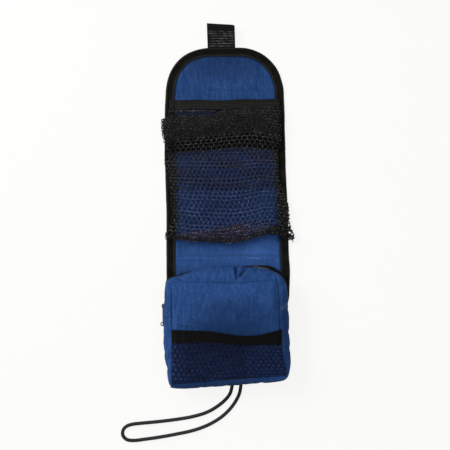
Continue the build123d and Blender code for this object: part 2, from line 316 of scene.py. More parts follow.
def net(name, size, place, finish, cell, thread, turn, soft):
    """A knitted net of six-sided holes, laid by place(u, v), with its rows turned in degrees.
    A cell is the pitch of the holes across and along, and a soft net has rounded threads."""
    width, length = size
    radius = cell[0] / math.sqrt(3)
    squash = cell[1] / (1.5 * radius)
    across, rows = round(width / cell[0]), round(length / cell[1])
    spare = 2
    extra = round(0.2 * rows) + spare if turn else 0
    work = bmesh.new()
    flat = flat_map(work)
    for row in range(-extra, rows + 1 + extra):
        for column in range(-extra, across + 1 + extra):
            spot = ((column + 0.5 * (row % 2)) * cell[0], row * 1.5 * radius, 0)
            bmesh.ops.create_circle(
                work, cap_ends=True, segments=6, radius=radius, matrix=Matrix.Translation(spot),
            )
    bmesh.ops.remove_doubles(work, verts=work.verts, dist=0.05)
    holes = list(work.faces)
    bmesh.ops.inset_individual(work, faces=holes, thickness=thread / 2)
    bmesh.ops.delete(work, geom=holes, context="FACES")
    wide, long = across * cell[0], rows * cell[1] / squash
    if turn:
        middle = Vector((wide / 2, long / 2, 0))
        turning = Matrix.Rotation(math.radians(turn), 3, "Z")
        bmesh.ops.rotate(work, verts=work.verts, cent=middle, matrix=turning)
        outside = [
            vert for vert in work.verts
            if not (-spare < vert.co.x < wide + spare and -spare < vert.co.y < long + spare)
        ]
        bmesh.ops.delete(work, geom=outside, context="VERTS")
    for face in work.faces:
        for loop in face.loops:
            loop[flat].uv = (loop.vert.co.x * MM, loop.vert.co.y * MM)
    for vert in work.verts:
        u = min(max(vert.co.x / wide, 0), 1)
        v = min(max(vert.co.y / long, 0), 1)
        vert.co = Vector(place(u, v)) * MM
    bmesh.ops.remove_doubles(work, verts=work.verts, dist=1e-6)
    bmesh.ops.dissolve_degenerate(work, edges=work.edges, dist=1e-6)
    piece = as_piece(name, work, finish)
    thicken(piece, net_thickness, 0)
    if soft:
        round_off(piece)
    return piece


def strand(name, points, diameter, finish, around):
    """A thread, cord or tube along points in space, with a number of faces around it."""
    points = [Vector(point) for point in points]
    marks = [0.0]
    for a, b in zip(points, points[1:]):
        marks.append(marks[-1] + (b - a).length)

    def place(u, v):
        index = min(round(v * (len(points) - 1)), len(points) - 1)
        way = points[min(index + 1, len(points) - 1)] - points[max(index - 1, 0)]
        level = way.cross(Vector((0, 0, 1))).normalized()
        up = level.cross(way).normalized()
        turn = 2 * math.pi * u
        return points[index] + (level * math.sin(turn) + up * math.cos(turn)) * diameter / 2

    work = laid_grid(around, len(points) - 1, (math.pi * diameter, marks[-1]), place)
    bmesh.ops.remove_doubles(work, verts=work.verts, dist=1e-7)
    bmesh.ops.holes_fill(work, edges=work.edges, sides=around)
    bmesh.ops.recalc_face_normals(work, faces=work.faces)
    return as_piece(name, work, finish)


def dots(name, spots, size, finish):
    """Many small rounded bodies, such as stitches. Each spot is a place and a way along."""
    work = bmesh.new()
    for place, way in spots:
        turn = Vector((1, 0, 0)).rotation_difference(way).to_matrix().to_4x4()
        scale = Matrix.Diagonal((size[0] / 2, size[1] / 2, size[2] / 2, 1))
        bmesh.ops.create_uvsphere(
            work, u_segments=6, v_segments=4, radius=MM,
            matrix=Matrix.Translation(Vector(place) * MM) @ turn @ scale,
        )
    return as_piece(name, work, finish)


def stitch_row(line, count, lift):
    """The spots of a row of stitches, lifted off line(share), the place along the row."""
    spots = []
    for i in range(count):
        a, b = (Vector(line((i + share) / count)) for share in (0.2, 0.8))
        spots.append(((a + b) / 2 + Vector((0, 0, lift)), (b - a).normalized()))
    return spots


def ride_pressed(piece):
    """The slack of the net moves with the middle panel, with a mesh of its own."""
    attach(piece, "middle")
    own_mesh(piece)


def across_crease(piece, lower, upper, y, reach=5.0):
    """Bakes a piece's placement into its points."""
    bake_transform(piece)


def declare(piece, body=None, replaced=()):
    """Attaches a piece to the body it moves with, and hides the nodes that it stands for."""
    if body:
        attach(piece, body)
    if replaced:
        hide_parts(*replaced)


# ---- finishes

def reckoning(operation, turned=False):
    """A way to reckon with one or two values or numbers, in their own order or turned."""
    def reckon(self, *others):
        values = (*others, self) if turned else (self, *others)
        return self.finish.node("Math", dict(enumerate(values)), operation=operation)

    return reckon


class Value:
    """A socket that can be reckoned with."""

    def __init__(self, finish, socket):
        self.finish, self.socket = finish, socket

    __add__ = reckoning("ADD")
    __sub__ = reckoning("SUBTRACT")
    __rsub__ = reckoning("SUBTRACT", turned=True)
    __mul__ = reckoning("MULTIPLY")
    __truediv__ = reckoning("DIVIDE")
    __pow__ = reckoning("POWER")
    over = reckoning("GREATER_THAN")  # 1 where this is above the other, 0 elsewhere
    sine = reckoning("SINE")
    size = reckoning("ABSOLUTE")

    def held(self):
        """Kept from 0 to 1."""
        return self.finish.node("Clamp", {0: self})


class Finish:
    """A material with a Principled surface, built from values."""

    def __init__(self, name, roughness, specular):
        self.material = bpy.data.materials.new(name)
        self.material.use_nodes = True
        self.tree = self.material.node_tree
        self.surface = self.tree.nodes["Principled BSDF"]
        self.surface.inputs["Roughness"].default_value = roughness
        self.surface.inputs["Specular IOR Level"].default_value = specular

    def put(self, socket, value):
        """Links a value to a socket, or sets the socket to a number or colour."""
        if isinstance(value, Value):
            self.tree.links.new(value.socket, socket)
        else:
            socket.default_value = value

    def node(self, kind, values, out=0, **settings):
        """Any node: its settings first, then the values or links of its sockets."""
        made = self.tree.nodes.new("ShaderNode" + kind)
        for name, setting in settings.items():
            setattr(made, name, setting)
        for key, value in values.items():
            self.put(made.inputs[key], value)
        return Value(self, made.outputs[out])

    def mixed(self, share, a, b):
        """A colour from a to b."""
        colours = [colour if isinstance(colour, Value) else (*colour, 1) for colour in (a, b)]
        return self.node("Mix", {0: share, 6: colours[0], 7: colours[1]}, out=2, data_type="RGBA")

    def first_two(self, vector):
        """The first two parts of a vector, in millimetres."""
        parts = self.node("SeparateXYZ", {0: vector})
        return parts / MM, Value(self, parts.socket.node.outputs[1]) / MM

    def cut(self):
        """The two directions of a cut of cloth, from its UV map."""
        return self.first_two(self.node("UVMap", {}, uv_map="UVMap"))

    def place(self):
        """Where a point is, in the object's own coordinates."""
        return self.node("TexCoord", {}, out="Object")

    def plan(self):
        """Where a point is across and along the bag."""
        return self.first_two(self.place())

    def speckle(self, size, detail=2.0, where=None):
        """Noise whose grains are about size millimetres wide."""
        scaled = {"Vector": where or self.place(), "Scale": 1 / (size * MM), "Detail": detail}
        return self.node("TexNoise", scaled)

    def finished(self, colour, height=None, depth=0.1, roughness=None):
        """Joins colour, bump and roughness to the surface and hands over the material."""
        self.put(self.surface.inputs["Base Color"], colour)
        if roughness is not None:
            self.put(self.surface.inputs["Roughness"], roughness)
        if height is not None:
            bump = self.node("Bump", {"Height": height, "Strength": 1.0, "Distance": depth * MM})
            self.put(self.surface.inputs["Normal"], bump)
        return self.material


def woven(name, dark, light, painted_light_and_shade, thread=0.55):
    """Plain weave: one thread over, one under, with slubs and a slow mottling. Light and shade are painted on
    in spots, each a place, a reach across and along, and an amount: painted light above 0, painted shade
    below 0."""
    finish = Finish(name, 0.75, specular=0.12)
    across, along = finish.cut()
    warp = (across * (math.pi / thread)).sine()
    weft = (along * (math.pi / thread)).sine()
    over = (warp * weft).over(0.0)
    height = over * warp.size() + (1 - over) * weft.size()
    slubs = finish.speckle(1.5, 3.0)
    streaks = finish.node("Mapping", {"Vector": finish.place(), "Scale": (1.0, 0.16, 1.0)})
    drawn = finish.speckle(2.2, 2.0, streaks)
    slow = finish.speckle(26.0, 3.0)
    twill = ((across + along * 0.8) * (2 * math.pi / 2.3)).sine() * 0.09
    uneven = (slubs - 0.5) * 1.5 + (drawn - 0.5) * 1.2 + (slow - 0.5) * 0.5 + twill
    share = (height * 0.3 + uneven + 0.11).held()
    colour = finish.mixed(share, dark, light)
    x, y = finish.plan()
    # Painted light makes the cloth paler in its spots, and painted shade makes it darker.
    paler, deeper = 0.0, 0.0
    for at_x, at_y, across_reach, along_reach, amount in painted_light_and_shade:
        away = ((x - at_x) / across_reach) ** 2 + ((y - at_y) / along_reach) ** 2
        spot = (1 - away).held() * abs(amount)
        if amount > 0:
            paler = spot + paler
        else:
            deeper = spot + deeper
    colour = finish.mixed(paler.held(), colour, [part * 1.35 for part in light])
    colour = finish.mixed(deeper.held(), colour, [part * 0.5 for part in dark])
    return finish.finished(colour, height + slubs * 0.6 + drawn * 0.4, 0.12, 0.88 - share * 0.2)


def tape(name, dark, light, painted_highlight_lines, rib=0.6, stitch_at=None):
    """Ribbed tape: fine ribs across it, rubbed paler and darker in slow patches, a painted highlight along
    its folds, painted shade in its stitched channel, and painted shade round the arch."""
    finish = Finish(name, 0.8, specular=0.04)
    across, along = finish.cut()
    ribs = (along * (math.pi / rib)).sine().size()
    grain = finish.speckle(0.7, 3.0)
    rubbed = finish.speckle(8.0, 4.0)
    share = ribs * 0.25 + grain * 0.2 + (rubbed - 0.5) * 0.4 - 0.2
    # A painted highlight along each fold of the tape.
    for fold in painted_highlight_lines:
        share = share + (1 - ((across - fold).size() / 1.2).held()) * 0.3
    height = ribs + grain * 0.5
    if stitch_at is not None:
        line = 1 - ((across - stitch_at).size() / 0.5).held()
        height = height - line * 1.5
        # Painted shade in the stitched channel.
        share = share - line * 0.3
    # Painted shade round the arch, above 150 mm.
    _, y = finish.plan()
    share = share.held() * (1 - ((y - 150) / 30).held() * 0.5)
    return finish.finished(finish.mixed(share, dark, light), height, 0.14, 0.85 - share * 0.2)


def knit(name, dark, light, glint, dull_share, patches=0.5, paler_within=None, doubled_above=None):
    """Net thread: fine knitted loops of filament yarn, with painted highlights as bright specks.
    Over cloth it is painted paler and bluer, as light thrown back by the cloth, than over the black edges,
    which start paler_within from the middle; over its own second thickness, which starts at doubled_above,
    it is painted darker as shade."""
    finish = Finish(name, 0.6, specular=0.08)
    across, along = finish.cut()
    loops = ((across * 5.2).sine() * (along * 6.1).sine()).size()
    grain = finish.speckle(0.9, 2.0)
    rows = (along * (2 * math.pi / 3.9)).sine() * 0.08
    # Painted highlights: bright specks, gathered a little along the rows.
    sparks = ((finish.speckle(1.1, 1.0) + rows - dull_share) * 9.0).held()
    slow = finish.speckle(15.0, 2.0)
    worn = (loops * 0.4 + grain * 0.5 + (slow - 0.5) * patches - 0.12).held()
    if paler_within is not None:
        x, y = finish.plan()
        middle = ((paler_within - (x - (38 - y) * 0.04).size()) / 3.0).held()
        # Over the black edges there is no painted light from the cloth: dark grey thread with grey specks.
        over_black = finish.mixed(sparks, (0.0035, 0.0035, 0.0038), (0.055, 0.055, 0.05))
        if doubled_above is not None:
            single = ((doubled_above - y) / 2.0).held()
            # Painted shade where the net lies over its own second thickness.
            sparks = sparks * (single * 0.5 + 0.5)
            worn = worn * (single * 0.5 + 0.5)
    colour = finish.mixed(sparks, finish.mixed(worn, dark, light), glint)
    if paler_within is not None:
        colour = finish.mixed(middle, over_black, colour)
    return finish.finished(colour, loops + grain, 0.08)


webbing_bend = 37.6  # how far along the webbing its smooth bend ends
rib_pitch = 2.75


def webbing_finish():
    """Heavy ribbed webbing: painted highlights on the picks of its ribs, none between them, along its
    selvedges or round its bend.
    """
    finish = Finish("webbing", 0.7, specular=0.05)
    across, along = finish.cut()
    edge = ((across - 15.0).size() - 13.2).over(0.0)
    ribs = (along * (2 * math.pi / rib_pitch)).sine() * 0.5 + 0.5
    picks = (across * (math.pi / 0.8)).sine().size()
    drawn = finish.node("Mapping", {"Vector": finish.place(), "Scale": (0.25, 1.0, 1.0)})
    broken = ((finish.speckle(1.1, 1.0, drawn) - 0.4) * 4.0).held()
    grain = finish.speckle(0.6, 2.0)
    # No painted highlights round the bend.
    past_bend = ((along - webbing_bend) / 2.5).held()
    shine = (ribs * ribs * ribs * (picks * 0.8 + 0.2) * (1 - edge) * past_bend * broken).held()
    base = finish.mixed(grain, (0.0015, 0.0015, 0.0018), (0.01, 0.01, 0.011))
    # Dark grain, with the painted highlights on the ribs.
    colour = finish.mixed(shine, base, (0.105, 0.102, 0.094))
    return finish.finished(colour, ribs * 1.5 + picks * 0.4, 0.25, 0.75 - shine * 0.3)


def cord_finish():
    """Braided sleeve: strands that lean one way and then the other."""
    finish = Finish("braided_cord", 0.65, specular=0.15)
    across, along = finish.cut()
    left = ((across * 1.579 + along * 3.1).sine() + 0.1).held()
    right = ((across * -1.579 + along * 3.1).sine() + 0.1).held()
    grain = finish.speckle(0.7, 2.0)
    share = (left * 0.5 + right * 0.25 + grain * 0.2).held()
    colour = finish.mixed(share, (0.006, 0.005, 0.006), (0.04, 0.036, 0.036))
    return finish.finished(colour, left + right + grain * 0.4, 0.25)


def enamel():
    """Black enamelled metal, rubbed to bare zinc in places."""
    finish = Finish("black_enamel", 0.35, specular=0.4)
    worn = ((finish.speckle(1.8, 4.0) - 0.62) * 8.0).held()
    colour = finish.mixed(worn, (0.014, 0.014, 0.015), (0.16, 0.155, 0.145))
    finish.put(finish.surface.inputs["Metallic"], worn)
    return finish.finished(colour, finish.speckle(0.6), 0.02, 0.42 - worn * 0.1)


def plain(name, dark, light, roughness=0.7, specular=0.12, grain_size=0.6):
    """A small part's finish: fine grain between two shades."""
    finish = Finish(name, roughness, specular=specular)
    grain = finish.speckle(grain_size, 3.0)
    return finish.finished(finish.mixed(grain, dark, light), grain, 0.08)


# Painted light and shade on the pouch's cloth: paler at its top, darker across its middle and foot, in its
# V-shaped crease and down its right side, paler behind the front net.
blue = woven("blue_cloth", (0.005, 0.03, 0.112), (0.026, 0.076, 0.235), painted_light_and_shade=(
    (0, -86, 80, 20, 0.1), (-48, -112, 16, 42, 0.04), (8, -122, 60, 30, -0.45), (0, -138, 70, 18, -0.35),
    (44, -118, 14, 30, 0.12), (64, -140, 9, 60, -0.35), (14, -74, 10, 7, -0.25), (0, -192, 90, 9, -0.6),
    (0, -166, 62, 22, 0.45),
))
# Painted light and shade on the lining: paler on the strip above the pouch with a painted highlight at its
# right, darker towards the flap's top, and painted shade under the net pocket and below its band.
blue_inside = woven("blue_lining", (0.006, 0.032, 0.116), (0.029, 0.082, 0.248), thread=0.5, painted_light_and_shade=(
    (0, -60, 80, 20, 0.34), (38, -48, 26, 12, 0.42), (0, 180, 90, 48, -0.85), (0, 128, 90, 22, -0.15),
    (0, 14, 90, 52, -0.58), (-30, 99, 60, 8, -0.8),
))
# The tuple after each tape's two shades gives where painted highlights run along its folds.
binding_finish = tape(
    "edge_binding", (0.002, 0.002, 0.0018), (0.042, 0.041, 0.036), (11.4, 19.9), rib=0.9, stitch_at=18.4,
)
band_finish = tape("pocket_band", (0.01, 0.0098, 0.0095), (0.026, 0.025, 0.024), (10.4,))
front_band_finish = tape("front_band", (0.003, 0.003, 0.003), (0.012, 0.012, 0.0115), (12.8,))
# These net yarns are copies of one black yarn, painted with light and shade: net_yarn paler and bluer over
# the blue cloth, doubled_net_yarn darker as painted shade under another thickness, hem_net_yarn paler as
# painted light on the raised hem, and front_net_yarn darker and bluer as painted shade on the pouch.
yarn = knit(
    "net_yarn", (0.005, 0.0085, 0.027), (0.017, 0.029, 0.085), (0.052, 0.066, 0.13), 0.57, 0.9,
    paler_within=53.0, doubled_above=17.0,
)
double_yarn = knit(
    "doubled_net_yarn", (0.002, 0.0022, 0.0045), (0.01, 0.01, 0.016), (0.04, 0.042, 0.055), 0.6, 1.2,
    paler_within=55.0,
)
fold_yarn = knit("folded_net_yarn", (0.002,) * 3, (0.018, 0.018, 0.0185), (0.06,) * 3, 0.6)
open_yarn = knit(
    "open_net_yarn", (0.004, 0.004, 0.005), (0.026, 0.026, 0.029), (0.105, 0.105, 0.11), 0.6,
    paler_within=55.0,
)
lit_hem_yarn = knit("hem_net_yarn", (0.004, 0.0035, 0.009), (0.022, 0.019, 0.04), (0.095, 0.088, 0.125), 0.57)
shaded_front_yarn = knit(
    "front_net_yarn", (0.0012, 0.0024, 0.012), (0.004, 0.0075, 0.034), (0.014, 0.021, 0.062), 0.66,
)
# A fine dark net yarn, used only for painted shade under the front net.
shade_net_yarn = knit(
    "front_shade_net_yarn", (0.005, 0.009, 0.03), (0.018, 0.028, 0.08), (0.045, 0.058, 0.13), 0.6,
)
loop_yarn = knit(
    "hem_edge_yarn", (0.004, 0.004, 0.005), (0.032, 0.031, 0.036), (0.14, 0.14, 0.145), 0.6,
    paler_within=42.0,
)
metal = enamel()
teeth_nylon = plain("zip_nylon", (0.003, 0.003, 0.0035), (0.012, 0.012, 0.013), 0.5, 0.12)
ring_wire = plain("pull_ring_wire", (0.003,) * 3, (0.01,) * 3, 0.6, 0.08)
zip_cloth = plain("zip_tape", (0.002, 0.002, 0.0028), (0.008, 0.008, 0.01), 0.8, 0.04)
# The zip tape's edge: its pale colour is a painted highlight.
selvedge = plain("zip_selvedge", (0.05, 0.05, 0.045), (0.24, 0.235, 0.2), grain_size=1.1)
stitch_yarn = plain("stitches", (0.006, 0.006, 0.005), (0.06, 0.058, 0.05), 0.55, 0.2)
pucker_yarn = plain("pucker_thread", (0.003,) * 3, (0.02, 0.02, 0.018), 0.7, 0.1)
seam_thread = plain("seam_thread", (0.02, 0.05, 0.14), (0.06, 0.12, 0.28))
frayed_thread = plain("frayed_thread", (0.05, 0.08, 0.15), (0.24, 0.27, 0.34))
pale_thread = plain("loose_thread", (0.12, 0.19, 0.36), (0.26, 0.36, 0.56))
webbing = webbing_finish()
cord_cloth = cord_finish()

for node in ("zip_slider", "zip_pull", "zip_end_stops"):
    shown = frame["nodes"][node].data.materials
    shown.clear()
    shown.append(metal)


# ---- camera, light and floor

def look():
    """The camera over the bag, the floor, and soft light from the upper left."""
    distance, field, film = 0.86, 0.4905, 36
    lens = bpy.data.cameras.new("overhead")
    lens.sensor_width = film
    lens.lens = film * distance / field
    camera = linked("overhead", lens)
    camera.location = (-0.0009, -0.0218, distance)
    camera.rotation_euler = (0, 0, math.radians(-0.62))
    bpy.context.scene.camera = camera

    bpy.context.scene.view_settings.view_transform = "Standard"
    world = bpy.data.worlds.new("room")
    bpy.context.scene.world = world
    world.use_nodes = True
    background = world.node_tree.nodes["Background"]
    background.inputs["Color"].default_value = (1, 1, 0.99, 1)
    path = world.node_tree.nodes.new("ShaderNodeLightPath")
    strength = world.node_tree.nodes.new("ShaderNodeMapRange")
    strength.inputs["To Min"].default_value = 0.42
    strength.inputs["To Max"].default_value = 0.97
    world.node_tree.links.new(path.outputs["Is Camera Ray"], strength.inputs["Value"])
    world.node_tree.links.new(strength.outputs["Result"], background.inputs["Strength"])

    lamps = (
        ("window", (-1.75, 1.2, 1.6), 1.5, 84.0),
        ("ceiling", (0.15, -0.3, 1.5), 1.1, 7.5),
    )
    for name, place, size, power in lamps:
        lamp = bpy.data.lights.new(name, "AREA")
        lamp.shape = "SQUARE"
        lamp.size = size
        lamp.energy = power
        light = linked(name, lamp)
        light.location = place
        aim = Vector((0, -0.03, 0)) - Vector(place)
        light.rotation_euler = aim.to_track_quat("-Z", "Y").to_euler()

    work = bmesh.new()
    bmesh.ops.create_grid(work, x_segments=1, y_segments=1, size=4)
    mesh = bpy.data.meshes.new("table_top")
    work.to_mesh(mesh)
    work.free()
    white = Finish("table_white", 0.6, specular=0.2)
    rays = white.tree.nodes.new("ShaderNodeLightPath").outputs
    camera_ray, glossy, through_glass = (
        Value(white, rays[f"Is {kind} Ray"]) for kind in ("Camera", "Glossy", "Transmission")
    )
    seen = (camera_ray + glossy + through_glass).held()
    white.put(white.surface.inputs["Emission Color"], white.mixed(seen, (0, 0, 0), (1, 1, 0.99)))
    white.surface.inputs["Emission Strength"].default_value = 0.85
    white.finished(white.mixed(seen, (0.8, 0.8, 0.785), (0.082, 0.082, 0.08)))
    mesh.materials.append(white.material)
    linked("table_top", mesh)


look()


# ---- elastic cord

cord_diameter = 3.8
cord_z = cord_diameter / 2
cord_route = [
    (5.4, -192.5), (4.6, -202.2), (-1, -210.8), (-10.4, -218.6), (-22.4, -225.6),
    (-38.6, -230.1), (-58, -233), (-79, -235.2), (-94, -236.3), (-107.2, -237.6),
    (-113.9, -241.8), (-115.3, -249.2), (-110.2, -254.8), (-101, -255.2), (-92, -254),
    (-77, -252.2), (-58, -249), (-38, -245.2), (-21.5, -239.4), (-6.8, -231),
    (4.4, -220.2), (11.2, -209.6), (14.2, -201.2), (14.8, -192),
]


def elastic_cord():
    """The cord, both of whose ends are sewn in under the pouch: a tube round its route's line."""
    line = bpy.data.curves.new("cord_line", "CURVE")
    line.dimensions = "3D"
    spline = line.splines.new("NURBS")
    spline.points.add(len(cord_route) - 1)
    for point, (x, y) in zip(spline.points, cord_route):
        point.co = (x * MM, y * MM, cord_z * MM, 1)
    spline.order_u = 3
    spline.use_endpoint_u = True
    line.resolution_u = 28
    guide = linked("cord_line", line)
    bpy.context.view_layer.update()
    walked = bpy.data.meshes.new_from_object(guide)
    path = [vert.co / MM for vert in walked.vertices]
    bpy.data.objects.remove(guide)
    cord = strand("elastic_cord_loop", path, cord_diameter, cord_cloth, 14)
    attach(cord, "pouch")
    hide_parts("elastic_cord")


elastic_cord()


# ---- panel: cloths, binding, stitches

split_y = 60.0  # where the lower and the upper panel pieces meet, under the folded net

strip_creases = [
    ((40, -45.5), (57, -55), 1.5, 2), ((38, -50), (55, -57.5), 2.6, -1.2),
    ((-56, -60), (-20, -64), 2.5, 0.8), ((10, -47), (34, -50.5), 3, 0.7),
    ((-58, -44), (-30, -50), 3, 0.35), ((-20, -60), (40, -62.5), 1.6, 0.25),
    ((-48, 150), (-30, 120), 3, 0.3), ((30, 160), (46, 134), 3, 0.3),
]


def lining_height(x, y):
    """Top of the blue lining: a little full between the bindings."""
    side = min(abs(x) / half_width(y), 1)
    full = 1.1 * (1 - side**4) * smooth(0, 22, panel_top_y - y)
    crease = -1.0 * hump(y, seam_y - 0.6 * x / seam_half, 0.9) - 0.5 * hump(y, crease_y, 3.0)
    waves = ripple(x, y, 34, 0.8, 1) + ripple(x, y, 12, 0.22, 2)
    puckers = 0.22 * math.sin(y * 1.3 + 3 * math.sin(y * 0.21)) * smooth(0.72, 0.85, side)
    painted_highlight_lines = creased(x, y, strip_creases)
    height = lining_top + full + crease - painted_highlight_lines + (waves + puckers) * (1 - side**6)
    return mix(height, binding_top - 1.7, smooth(binding_width + 1.2, binding_width - 0.6, inset(x, y)))


def back_height(x, y):
    """The back's cloth, a little off the table."""
    lift = 0.35 + ripple(x, y, 26, 0.25, 5)
    return max(lift, 0.05) * (1 - (abs(x) / half_width(y)) ** 8)


def panel_cloth(name, low_y, high_y, columns, rows, side, crease, replaced):
    """A cloth of the panel, on its face at side 1 and on its back at -1."""
    height, finish, slot = {
        1: (lining_height, blue_inside, "blue_lining"),
        -1: (back_height, blue, "blue_cloth"),
    }[side]

    def place(u, v):
        y = mix(low_y, high_y, v)
        x = side * (2 * u - 1) * (half_width(y) - sewn_in)
        return *lie(x, y), height(x, y)

    size = (2 * seam_half, high_y - low_y)
    piece = cloth(name, columns, rows, size, place, finish)
    declare(piece, replaced=replaced)
    across_crease(piece, *crease)


low_crease = ("pouch", "middle", seam_y)
high_crease = ("middle", "flap", crease_y)
panel_cloth(
    "lining_lower", panel_low_y + 4, split_y, 110, 190, 1, low_crease,
    ["pouch_lining", "middle_lining", "pouch_padding", "middle_padding"],
)
panel_cloth(
    "lining_upper", split_y, panel_top_y - 2.5, 110, 96, 1, high_crease, ["flap_lining", "flap_padding"],
)
panel_cloth(
    "back_lower", panel_low_y + 2.5, split_y, 50, 130, -1, low_crease,
    ["pouch_back_shell", "middle_back_shell"],
)
panel_cloth("back_upper", split_y, panel_top_y - 2.5, 50, 60, -1, high_crease, ["flap_back_shell"])


def strip_seam():
    """The seam across the panel above the pouch, with two loose threads at its right."""
    spots = []
    count = 44
    for i in range(count):
        x = mix(-56, 56, (i + 0.5) / count)
        y = seam_y + 1.1 - 0.6 * x / seam_half
        spots.append((Vector((*lie(x, y), lining_height(x, y) + 0.1)), Vector((1, 0, 0))))
    stitches = dots("strip_seam_stitches", spots, (2.0, 0.5, 0.4), seam_thread)
    across_crease(stitches, *low_crease)
    for index, (x, y, run) in enumerate(((23.5, -58.0, 6.5), (29, -58.6, 6.0))):
        points = []
        for i in range(13):
            along = x + run * i / 12
            across = y + 0.2 * math.sin(i * 0.4 + index)
            points.append((*lie(along, across), lining_height(along, across) + 0.35))
        thread = strand(f"loose_thread_{index}", points, 0.32, pale_thread, 5)
        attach(thread, "pouch")


strip_seam()


# Shares of the tape's width: each of its flat faces, its turn round the edge, and where its
# upper face starts
flat_part, turned_part, upper_from = 0.42, 0.16, 0.58
stitch_pitch = 3.1


def binding_place(route, seed):
    """The folded tape's section, walked from its inner edge below to its inner edge above."""
    bend = 1.6
    flat_width = binding_width - bend

    def place(t, along):
        point, inwards = route.at(along)
        distance = along * route.length
        if t < flat_part:
            inward, z = binding_width - flat_width * t / flat_part, 0.0
        elif t <= flat_part + turned_part:
            angle = math.pi * ((t - flat_part) / turned_part - 0.5)
            inward = bend - bend * math.cos(angle)
            z = binding_top / 2 * (1 + math.sin(angle))
        else:
            s = (t - flat_part - turned_part) / flat_part
            inward = bend + flat_width * s
            z = binding_top + 0.5 * hump(s, 0.12, 0.16) - 0.25 * hump(s, 0.45, 0.2)
            z += 0.45 * hump(s, 0.93, 0.09) - 0.45 * hump(s, 0.78, 0.06)
        rim = hump(t, 0.5, 0.12)
        bent = smooth(crease_y + 4, crease_y + 25, point.y)
        wave = ripple(point.x, point.y, 16, 0.35, seed)
        top = smooth(0.45, 0.6, t)
        z += top * (ripple(point.x, point.y, 9, 0.4, seed + 3) + 0.1)
        pleat = math.sin(2 * math.pi * distance / 2.6)
        inward -= wave + 0.16 * rim * pleat * mix(0.4, 1.0, bent)
        z += 0.14 * rim * pleat * mix(0.3, 1.0, bent) * top
        spot = point + inwards * inward
        return *lie(spot.x, spot.y), z

    return place


arch_x = flap_half - arch_radius
arch = (
    [(-half_width(split_y), split_y), (-half_width(90), 90), (-flap_half, band_top_y)]
    + arc(-arch_x, crease_y, arch_radius, 180, 90, 40)
    + arc(arch_x, crease_y, arch_radius, 90, 0, 40)
    + [(flap_half, band_top_y), (half_width(90), 90), (half_width(split_y), split_y)]
)
low_x = seam_half - corner_radius
low_y = panel_low_y + corner_radius
foot = (
    [(half_width(split_y), split_y), (seam_half, seam_y)]
    + arc(low_x, low_y, corner_radius, 0, -90)
    + arc(-low_x, low_y, corner_radius, 270, 180)
    + [(-seam_half, seam_y), (-half_width(split_y), split_y)]
)
for name, points, columns, seed, crease, replaced in (
    ("upper", arch, 620, 11, high_crease, ["flap_binding"]),
    ("lower", foot, 760, 17, low_crease, ["pouch_binding", "middle_binding"]),
):
    route = Route(points)
    place = binding_place(route, seed)
    size = (tape_width, route.length)
    edge_tape = cloth("binding_" + name, 26, columns, size, place, binding_finish)
    declare(edge_tape, replaced=replaced)
    across_crease(edge_tape, *crease)
    for row, across, stitch, finish in (
        ("stitches", 0.8, (2.1, 0.55, 0.5), stitch_yarn),
        ("puckers", 1.02, (1.9, 1.2, 0.7), pucker_yarn),
    ):
        count = round(route.length / stitch_pitch)
        spots = stitch_row(lambda along: place(upper_from + flat_part * across, along), count, 0.25)
        across_crease(dots(f"binding_{row}_{name}", spots, stitch, finish), *crease)


# ---- pouch: a sewn shell that settles

front_z = node_box("upper_front_panel")[1].z - 1.0
lower, right, upper, left = range(4)
front_size = (118, 106)
wall_size = (460, 34)

front_ring = Ring([
    (-59, -188.9, 2.5), (62.6, -180.6, 4), (56.7, -148, 60), (54.6, -79.8, 7), (12, -82.8, 90),
    (-58.2, -80.4, 4),
], turns=(0, 1, 3, 5))
foot_ring = Ring([
    (-61.4, -192.6, 6), (62.4, -187.0, 6), (wall_x - 0.6, -150, 60), (wall_x - 0.3, -65.9, 24),
    (-24, -68.3, 60), (0.4 - wall_x, -79.2, 7), (0.6 - wall_x, -160, 60),
], turns=(0, 1, 3, 5))

# How far the wall swells outwards, and how far its foot leans outwards of the zip, along each side
swell = {
    lower: [(0, 1.0), (0.15, 2.6), (0.5, 3.0), (0.8, 1.7), (1, 0.8)],
    right: [(0, 1.4), (0.16, 3.2), (0.3, 2.3), (0.45, 1.6), (0.8, 1.5), (1, 1.0)],
    upper: [(0, 0.8), (0.25, 1.2), (0.5, 3.6), (0.75, 1.8), (0.93, -0.3), (1, -0.8)],
    left: [(0, -0.8), (0.16, 0.6), (0.3, 3.3), (0.42, 2.6), (0.55, 3.0), (0.7, 2.0), (0.85, 0.3), (1, -0.4)],
}
lean = {
    right: [(0.55, 0), (0.75, -1.6), (1, -3.2)],
    upper: [
        (0, -3.2), (0.06, -4.1), (0.13, -3.7), (0.2, -2.2), (0.26, -0.5), (0.36, 0.5), (0.5, 0.8),
        (0.72, 0.3), (0.8, -0.8), (0.88, -1.3), (0.94, -0.7), (1, -0.3),
    ],
    left: [(0, -0.3), (0.15, 0), (1, 0)],
    lower: [(0, 0), (1, 0)],
}


def wall_point(side, share, v):
    """A point of the pouch's wall: v is 0 at the panel or the zip and 1 at the front's seam."""
    foot_spot, out = foot_ring.at(side, share)
    head_spot, _ = front_ring.at(side, share)
    above = smooth(lid_y - 1.5, lid_y + 1.5, foot_spot.y)
    start = mix(binding_top - 0.3, zip_high - 0.4, above)
    foot_spot = foot_spot + out * through(lean[side], share) * above
    spot = foot_spot.lerp(head_spot, v**2.4) + out * through(swell[side], share) * math.sin(math.pi * v)
    if side == left:
        spot -= out * 1.6 * hump(foot_spot.y, slider_y, 8) * smooth(0.5, 0.1, v)
    z = mix(start, front_z, math.sin(v * math.pi / 2) ** 0.9)
    return Vector((spot.x, spot.y, z))


